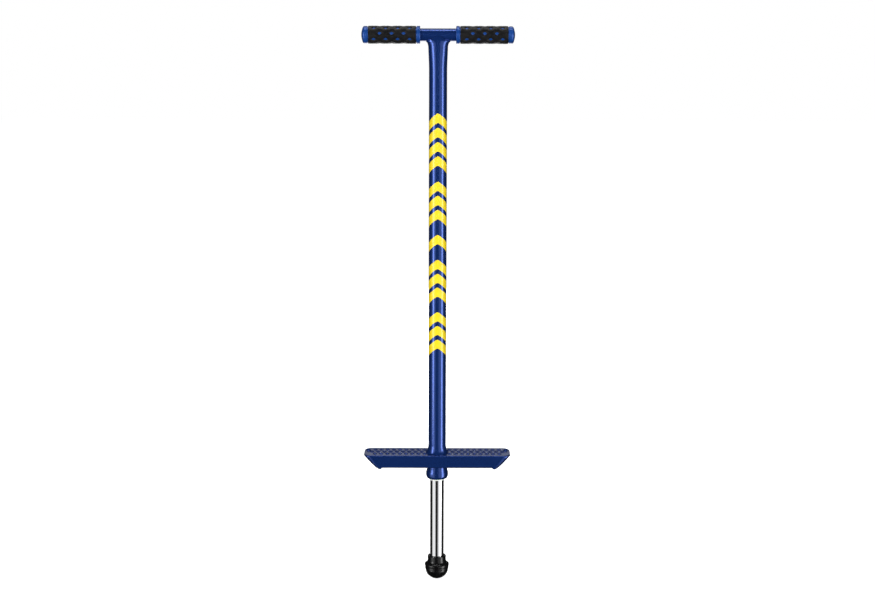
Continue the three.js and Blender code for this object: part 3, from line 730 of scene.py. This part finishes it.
def footrest_skin():
    """Points and faces of the studded tread, and its border with the key of each border point."""
    half_length = FOOTREST_HIGH.x - FOOTREST_EDGE
    half_depth = FOOTREST_HIGH.y - FOOTREST_EDGE
    corner = TREAD_CORNER - FOOTREST_EDGE
    straight_x, straight_y = half_length - corner, half_depth - corner
    columns = 2 * round(half_length / TREAD_STEP) + 1
    rows = 3 * round(half_depth / TREAD_STEP) + 1
    studs = {}
    for centre, rise, radius in stud_places():
        studs.setdefault(round(centre.x / STUD_PITCH), []).append((centre, rise, radius))

    points = []
    for row in range(rows):
        y = half_depth * math.sin(math.pi / 2 * (2 * row / (rows - 1) - 1))
        over = min(max(abs(y) - straight_y, 0), corner)
        reach = straight_x + math.sqrt(corner**2 - over**2)
        for column in range(columns):
            x = reach * (2 * column / (columns - 1) - 1)
            points.append((x, y, TREAD + tread_lift(studs, x, y)))
    hole = COLUMN_RADIUS - GAP  # the tread's hole ends out of sight, in the column's wall
    faces = []
    for face in ring_faces(rows, columns, False, False):
        middle = sum((Vector(points[index]).xy for index in face), Vector((0, 0))) / 4
        if middle.length > hole:
            faces.append(face)

    last_row, last_column = rows - 1, columns - 1
    border = [(0, column) for column in range(columns)]
    border += [(row, last_column) for row in range(1, rows)]
    border += [(last_row, column) for column in range(last_column - 1, -1, -1)]
    border += [(row, 0) for row in range(last_row - 1, 0, -1)]
    ring = [row * columns + column for row, column in border]
    keys = []
    for index in ring:
        x, y, _ = points[index]
        share_x = min(max(x / straight_x, -1), 1)
        share_y = min(max(y / straight_y, -1), 1)
        normal = Vector((x - share_x * straight_x, y - share_y * straight_y)).normalized()
        keys.append((share_x, share_y, normal.x, normal.y))
    return points, faces, ring, keys


def footrest_walls(points, ring, keys):
    """Adds the rounded edge and the leaning walls below the tread's border, level by level."""
    edge_steps, wall_steps = 5, 12
    levels = []
    for step in range(1, edge_steps + 1):
        turn = math.pi / 2 * step / edge_steps
        levels.append((FOOTREST_EDGE * (1 - math.sin(turn)), FOOTREST_EDGE * (1 - math.cos(turn)), 0))
    levels += [(0, FOOTREST_EDGE, (step + 1) / wall_steps) for step in range(wall_steps)]
    faces = []
    for inset, drop, fall in levels:
        corner = TREAD_CORNER + (FOOTREST_BOTTOM_CORNER - TREAD_CORNER) * fall - inset
        half_length = FOOTREST_HIGH.x - FOOTREST_LEAN * (1 - (1 - fall) ** END_BULGE) - inset
        new_ring = []
        for key in keys:
            x, y = rim_place(key, half_length, FOOTREST_HIGH.y - inset, corner)
            past_lip = abs(x) - FOOTREST_LIP_START
            on_end = smoothstep(-FOOTREST_LIP_BLEND, FOOTREST_LIP_BLEND, past_lip)
            floor = FOOTREST_LOW.z + FOOTREST_RIM_RISE * (1 - on_end)
            top = TREAD - drop
            new_ring.append(len(points))
            points.append((x, y, top + (floor - top) * fall))
        for index in range(len(ring)):
            beside = (index + 1) % len(ring)
            faces.append((ring[index], new_ring[index], new_ring[beside], ring[beside]))
        ring = new_ring
    return faces


def build_footrest():
    """A pressed steel channel, open below, with three rows of cratered studs on its tread."""
    points, faces, ring, keys = footrest_skin()
    faces += footrest_walls(points, ring, keys)
    piece = new_object("footrest_pressing", points, faces, sharp_degrees=60)
    work = bmesh.new()
    work.from_mesh(piece.data)
    loose = [vertex for vertex in work.verts if not vertex.link_faces]
    bmesh.ops.delete(work, geom=loose, context="VERTS")
    work.to_mesh(piece.data)
    work.free()
    shell = piece.modifiers.new("sheet", "SOLIDIFY")
    shell.thickness = FOOTREST_SHEET
    shell.offset = -1
    bpy.context.view_layer.objects.active = piece
    bpy.ops.object.modifier_apply(modifier=shell.name)
    finish_piece(piece, PAINT, "blue_paint", "frame", "footrest")


FILLET_FOOT = TREAD - 0.2 * MM  # the fillet starts just inside the tread
FILLET_HEIGHT = 14.5 * MM
FILLET_SIDE_WIDTH, FILLET_FRONT_WIDTH = 5 * MM, 3.7 * MM  # at its foot
FILLET_TOP_WIDTH = 0.1 * MM
FILLET_POWER = 2.2  # of its concave section
FILLET_RIPPLES = 40
FILLET_RIPPLE = 0.3 * MM


def build_footrest_weld():
    """The rippled fillet between the column and the tread."""
    rows = 16
    points = []
    for row in range(rows + 1):
        rise = row / rows
        spread = (1 - rise) ** FILLET_POWER
        height = FILLET_FOOT + rise * FILLET_HEIGHT
        fade = 4 * rise * (1 - rise) * spread  # the ripples fade out at the foot and the top
        for angle in round_angles():
            ripple = weld_ripple(angle, height, FILLET_RIPPLES, FILLET_RIPPLE) * fade
            inner = COLUMN_RADIUS + FILLET_TOP_WIDTH + ripple
            points.append(oval_point(
                inner + FILLET_SIDE_WIDTH * spread, inner + FILLET_FRONT_WIDTH * spread, angle, height))
    inside = COLUMN_RADIUS - 0.2 * MM
    for height in (FILLET_FOOT + FILLET_HEIGHT, FILLET_FOOT):
        points += [oval_point(inside, inside, angle, height) for angle in round_angles()]
    piece = new_object("footrest_weld_bead", points, ring_faces(rows + 3, FACETS, True))
    finish_piece(piece, PAINT, "blue_paint", "frame", "footrest_weld")


def build_collar():
    """Sleeve over the column's lower end, with a stiffening bead and a lip that holds the bush."""
    bore, radius, bead = COLUMN_RADIUS + GAP, 18.65 * MM, COLLAR_HIGH.x
    bottom, top, lip = COLLAR_LOW.z, COLLAR_HIGH.z, 15.3 * MM
    lip_top = bottom + 2.7 * MM
    edge = 0.4 * MM
    profile = rounded([
        (lip, bottom, 0.5 * MM), (radius - 0.1 * MM, bottom, 1.8 * MM), (bead, bottom + 5 * MM, 1.2 * MM),
        (bead, bottom + 11.4 * MM, 2 * MM), (radius, bottom + 15.5 * MM, 2.5 * MM),
        (radius, top, edge), (bore, top, edge), (bore, lip_top, edge), (lip, lip_top, edge)])
    piece = turned("lower_collar_sleeve", profile)
    finish_piece(piece, PAINT, "blue_paint", "frame", "lower_collar")


def build_bush():
    """The nylon guide: a nose that shows below the collar, a flange and a sleeve in the column."""
    bore, nose, sleeve = PLUNGER_RADIUS + GAP, 15 * MM, 14.05 * MM
    flange_low, flange_high = COLLAR_LOW.z + 3 * MM, COLUMN_LOW.z - GAP
    edge = 0.3 * MM
    profile = rounded([
        (bore, BUSH_LOW.z, 0.8 * MM), (nose, BUSH_LOW.z, 1.2 * MM), (nose, flange_low, edge),
        (BUSH_HIGH.x, flange_low, edge), (BUSH_HIGH.x, flange_high, edge),
        (sleeve, flange_high, edge), (sleeve, BUSH_HIGH.z, 0.5 * MM), (bore, BUSH_HIGH.z, 0.5 * MM)])
    piece = turned("lower_guide_bush_moulding", profile)
    finish_piece(piece, NYLON, "white_nylon", "frame", "lower_guide_bush")


# ---- plunger, foot and spring


def build_plunger():
    """The chromed tube that slides in the bush."""
    bore, edge = PLUNGER_RADIUS - 2 * MM, 0.5 * MM
    profile = rounded([
        (bore, PLUNGER_LOW.z, edge), (PLUNGER_RADIUS, PLUNGER_LOW.z, edge),
        (PLUNGER_RADIUS, PLUNGER_HIGH.z, edge), (bore, PLUNGER_HIGH.z, edge)])
    piece = turned("plunger_shaft", profile)
    finish_piece(piece, CHROME, "chrome", "plunger", "plunger_tube")


FOOT_RADIUS = 20.9 * MM  # of the dome and the groove
FOOT_DOME_DEPTH = 19.9 * MM
FOOT_FLAT_RADIUS = 4 * MM
FOOT_RIDGE_RADIUS = 21.6 * MM
FOOT_NECK_RADIUS = 16.75 * MM
FOOT_FACETS = 240  # enough for the ribs
FOOT_RIBS = 40
FOOT_RIB_DEPTH = 0.016  # share of the radius
FOOT_RIB_SLANT = 12  # radians per metre of height


def foot_ribs(x, y, z):
    """Shallow slanting ribs that run up the dome between its sole and its ridges."""
    fade = smoothstep(1.5 * MM, 6 * MM, z) * (1 - smoothstep(15 * MM, 18 * MM, z))
    angle = math.atan2(y, x) + FOOT_RIB_SLANT * z
    scale = 1 - FOOT_RIB_DEPTH * fade * (0.5 + 0.5 * math.cos(FOOT_RIBS * angle))
    return (x * scale, y * scale, z)


def build_foot():
    """Rubber boot: a ribbed dome, a ridge, a groove, a flange and the neck that grips the plunger."""
    flat_angle = math.degrees(math.acos(FOOT_FLAT_RADIUS / FOOT_RADIUS))
    centre = FOOT_DOME_DEPTH * math.sin(math.radians(flat_angle))
    dome = arc((0, centre), (FOOT_RADIUS, FOOT_DOME_DEPTH), -flat_angle, -3, 34)
    flange, top = FOOT_HIGH.x, FOOT_HIGH.z
    socket = PLUNGER_RADIUS + 0.05 * MM
    socket_floor = PLUNGER_LOW.z - 2.6 * MM  # below the tube and the washer under it
    upper = rounded([
        (FOOT_RADIUS - 0.4 * MM, centre, 0.3 * MM),
        (FOOT_RIDGE_RADIUS, centre + 0.2 * MM, 0.6 * MM), (FOOT_RIDGE_RADIUS, centre + 2.0 * MM, 0.7 * MM),
        (FOOT_RADIUS, centre + 2.9 * MM, 0.5 * MM), (FOOT_RADIUS, centre + 4.3 * MM, 0.5 * MM),
        (flange, centre + 5.6 * MM, 0.8 * MM), (flange, centre + 9.1 * MM, 1.5 * MM),
        (FOOT_NECK_RADIUS + 0.5 * MM, centre + 12.8 * MM, 2 * MM),
        (FOOT_NECK_RADIUS, top - 8 * MM, 0), (FOOT_NECK_RADIUS, top, 1.4 * MM),
        (socket + 0.8 * MM, top, 0.5 * MM), (socket, top - MM, 0.4 * MM),
        (socket, socket_floor, 0.4 * MM), (0, socket_floor, 0)], closed=False)
    profile = [(0, 0), (FOOT_FLAT_RADIUS * 0.6, 0), *dome, *upper]
    piece = turned("rubber_foot_boot", profile, foot_ribs, FOOT_FACETS)
    finish_piece(piece, FOOT_RUBBER, "black_rubber", "plunger", "rubber_foot")


SPRING_WIRE_RADIUS = 2 * MM
SPRING_TURNS = 30
SPRING_TURN_STEPS = 36
SPRING_WIRE_SIDES = 14
SPRING_CLOSED_PITCH = 4.7 * MM  # of the first and the last turn
SPRING_END_THICKNESS = 0.55  # share of the wire's height that grinding leaves at its ends


def spring_points():
    """Sections of the wire along a helix with closed, ground end turns."""
    radius = SPRING_HIGH.x - SPRING_WIRE_RADIUS
    low, high = SPRING_LOW.z + SPRING_WIRE_RADIUS, SPRING_HIGH.z - SPRING_WIRE_RADIUS
    open_pitch = (high - low - 2 * SPRING_CLOSED_PITCH) / (SPRING_TURNS - 2)
    steps = SPRING_TURNS * SPRING_TURN_STEPS
    ground_steps = SPRING_TURN_STEPS // 2
    points = []
    for step in range(steps + 1):
        turn = step / SPRING_TURN_STEPS
        middle = min(max(turn - 1, 0), SPRING_TURNS - 2)
        height = low + middle * open_pitch + (turn - middle) * SPRING_CLOSED_PITCH
        angle = 2 * math.pi * turn
        spoke = Vector((math.cos(angle), math.sin(angle), 0))
        full = min(step, steps - step, ground_steps) / ground_steps
        thickness = SPRING_END_THICKNESS + (1 - SPRING_END_THICKNESS) * full
        for turn_round in round_angles(SPRING_WIRE_SIDES):
            offset = spoke * math.cos(turn_round) + Vector((0, 0, thickness * math.sin(turn_round)))
            points.append(tuple(spoke * radius + Vector((0, 0, height)) + offset * SPRING_WIRE_RADIUS))
    return points


def build_spring():
    """Round-wire spring with closed, ground end turns."""
    points = spring_points()
    sections = len(points) // SPRING_WIRE_SIDES
    start_cap = tuple(range(SPRING_WIRE_SIDES))
    end_cap = tuple(len(points) - 1 - side for side in range(SPRING_WIRE_SIDES))
    faces = [*ring_faces(sections, SPRING_WIRE_SIDES, False), start_cap, end_cap]
    piece = new_object("compression_spring", points, faces)
    recalculate(piece.data)
    finish_piece(piece, SPRING_STEEL, "spring_steel", "frame", "main_spring")
    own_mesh(piece)


# ---- printed chevrons

FILM_THICKNESS = 0.12 * MM
CHEVRON_STROKE = 16.5 * MM
CHEVRON_GAP = 8.5 * MM
CHEVRON_SLOPE = 0.8  # fall of a stripe for each unit sideways
CHEVRON_TIP_RADIUS = 2 * MM
CHEVRON_REACH = math.radians(84)  # how far a stripe wraps to each side of the front
PRINT_LOW, PRINT_HIGH = 418.6 * MM, 857.6 * MM
BLOCKS = (4, 3, 1, 3, 3)  # chevrons in each block, from the top


def chevron(points, faces, tip_height):
    """One stripe of film, wrapped round the front of the column, with its tip up."""
    columns = 40
    start = len(points)
    for radius in (COLUMN_RADIUS + FILM_THICKNESS, COLUMN_RADIUS - FILM_THICKNESS):
        for edge in (0, -CHEVRON_STROKE):
            for column in range(columns + 1):
                angle = CHEVRON_REACH * (2 * column / columns - 1)
                sideways = COLUMN_RADIUS * angle
                drop = CHEVRON_SLOPE * (math.hypot(sideways, CHEVRON_TIP_RADIUS) - CHEVRON_TIP_RADIUS)
                place = (radius * math.sin(angle), -radius * math.cos(angle), tip_height + edge - drop)
                points.append(place)
    row = columns + 1
    outer_top, outer_low, inner_top, inner_low = (start + row * k for k in range(4))
    pairs = [(outer_low, outer_top), (outer_top, inner_top), (inner_top, inner_low), (inner_low, outer_low)]
    for first, second in pairs:
        for column in range(columns):
            faces.append((first + column, first + column + 1, second + column + 1, second + column))
    for column in (0, columns):
        end = (outer_top + column, inner_top + column, inner_low + column, outer_low + column)
        faces.append(end if column == 0 else end[::-1])


def build_chevrons():
    """Blocks of plain chevrons stand where the real stick has printed lettering."""
    count = sum(BLOCKS)
    height_used = count * CHEVRON_STROKE + (count - len(BLOCKS)) * CHEVRON_GAP
    drop = CHEVRON_SLOPE * COLUMN_RADIUS * CHEVRON_REACH
    block_gap = (PRINT_HIGH - PRINT_LOW - drop - height_used) / (len(BLOCKS) - 1)
    tip = PRINT_HIGH
    for index, chevrons in enumerate(BLOCKS):
        points, faces = [], []
        for _ in range(chevrons):
            chevron(points, faces, tip)
            tip -= CHEVRON_STROKE + CHEVRON_GAP
        tip += CHEVRON_GAP - block_gap
        piece = new_object(f"chevron_print_{index + 1}", points, faces)
        recalculate(piece.data)
        finish_piece(piece, YELLOW, "blue_plastic", "frame")


# ---- CAD pieces that stay


def dress_inner_pieces():
    """The hidden metal and rubber pieces keep their CAD shapes and get real finishes."""
    finishes = {
        "plunger_head": ZINC, "plunger_head_pin": ZINC, "foot_washer": ZINC,
        "spring_lower_washer": ZINC, "spring_top_seat": ZINC, "rebound_bumper": FOOT_RUBBER}
    for node, material in finishes.items():
        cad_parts[node].material_slots[0].material = material


# ---- stage

CAMERA_DISTANCE = 2.826
CAMERA_HEIGHT = 1.0424
CAMERA_PITCH = math.radians(10.41)  # looking down
CAMERA_ROLL = math.radians(0.15)
CAMERA_LENS = 65.83
FLOOR_HALF = 12  # half of the floor's side


def build_camera():
    """A camera in front of the stick, looking slightly down."""
    data = bpy.data.cameras.new("camera")
    data.lens = CAMERA_LENS
    data.sensor_width = 36
    camera = bpy.data.objects.new("camera", data)
    camera.location = (0, -CAMERA_DISTANCE, CAMERA_HEIGHT)
    tilt = Matrix.Rotation(math.pi / 2 - CAMERA_PITCH, 4, "X")
    camera.rotation_euler = (tilt @ Matrix.Rotation(CAMERA_ROLL, 4, "Z")).to_euler()
    bpy.context.scene.collection.objects.link(camera)
    bpy.context.scene.camera = camera


def build_floor():
    """A white floor that the object neither mirrors nor takes light from."""
    corners = [(x * FLOOR_HALF, y * FLOOR_HALF, 0) for x, y in ((-1, -1), (1, -1), (1, 1), (-1, 1))]
    floor = new_object("floor", corners, [(0, 1, 2, 3)])
    floor.data.materials.append(pale_floor())
    floor.visible_glossy = False
    floor.visible_diffuse = False


def softbox(name, azimuth, elevation, distance, size, power, aim):
    """An area light at an azimuth from the front, in degrees, aimed at a height on the axis."""
    data = bpy.data.lights.new(name, "AREA")
    data.shape = "RECTANGLE"
    data.size, data.size_y = size
    data.energy = power
    light = bpy.data.objects.new(name, data)
    turn, lift = math.radians(azimuth), math.radians(elevation)
    outward = Vector((math.sin(turn) * math.cos(lift), -math.cos(turn) * math.cos(lift), math.sin(lift)))
    light.location = Vector((0, 0, aim)) + outward * distance
    light.rotation_euler = outward.to_track_quat("Z", "Y").to_euler()
    light.visible_camera = False
    bpy.context.scene.collection.objects.link(light)
    return light


def build_lights():
    """Strips and wide panels at both sides, boxes over and behind, and a fill in front and behind."""
    softbox("strip_left", -55, -2, 2.6, (0.72, 2.2), 28, 0.8)
    softbox("strip_right", 62, -6, 2.6, (0.8, 2.9), 40, -0.05)
    softbox("panel_left", -52.5, -8, 3.1, (2.96, 4.0), 34, 0.35)
    softbox("panel_right", 49.5, -8, 3.1, (3.95, 4.0), 39, 0.35)
    softbox("overhead", 0, 88, 2.4, (2.6, 0.34), 22, 0.9)
    softbox("rear_low", 180, -28, 3.0, (1.4, 1.6), 20, 0.5)
    softbox("rear_high", 180, 60, 3.0, (2.6, 0.5), 14, 0.6)
    softbox("rear_tread", 180, 13, 3.0, (1.8, 0.5), 1.5, 0.25)
    for name, azimuth, power in (("front_fill", 0, 84), ("rear_fill", 180, 120)):
        fill = softbox(name, azimuth, 8, 3.0, (1.6, 1.6), power, 0.6)
        fill.visible_glossy = False  # the chrome keeps its dark middle


def build_world():
    """White behind the object for the camera, nearly black for what the object reflects."""
    world = bpy.data.worlds.new("studio")
    bpy.context.scene.world = world
    world.use_nodes = True
    tree = world.node_tree
    background = tree.nodes["Background"]
    background.inputs["Color"].default_value = (1, 1, 1, 1)
    path = tree.nodes.new("ShaderNodeLightPath")
    pick = tree.nodes.new("ShaderNodeMix")
    pick.inputs["A"].default_value = 0.02
    pick.inputs["B"].default_value = 1.0
    tree.links.new(path.outputs["Is Camera Ray"], pick.inputs["Factor"])
    tree.links.new(pick.outputs["Result"], background.inputs["Strength"])


def build_object():
    """Makes every piece of the stick."""
    build_column()
    build_handlebar()
    build_handlebar_weld()
    for side_name, side in (("left", -1), ("right", 1)):
        build_grip_core(side, side_name)
        build_grip_rubber(side, side_name)
        build_grip_cap(side, side_name)
    build_footrest()
    build_footrest_weld()
    build_collar()
    build_bush()
    build_plunger()
    build_foot()
    build_spring()
    build_chevrons()
    dress_inner_pieces()


build_camera()
build_object()
build_floor()
build_lights()
build_world()
bpy.context.scene.view_settings.view_transform = "Standard"
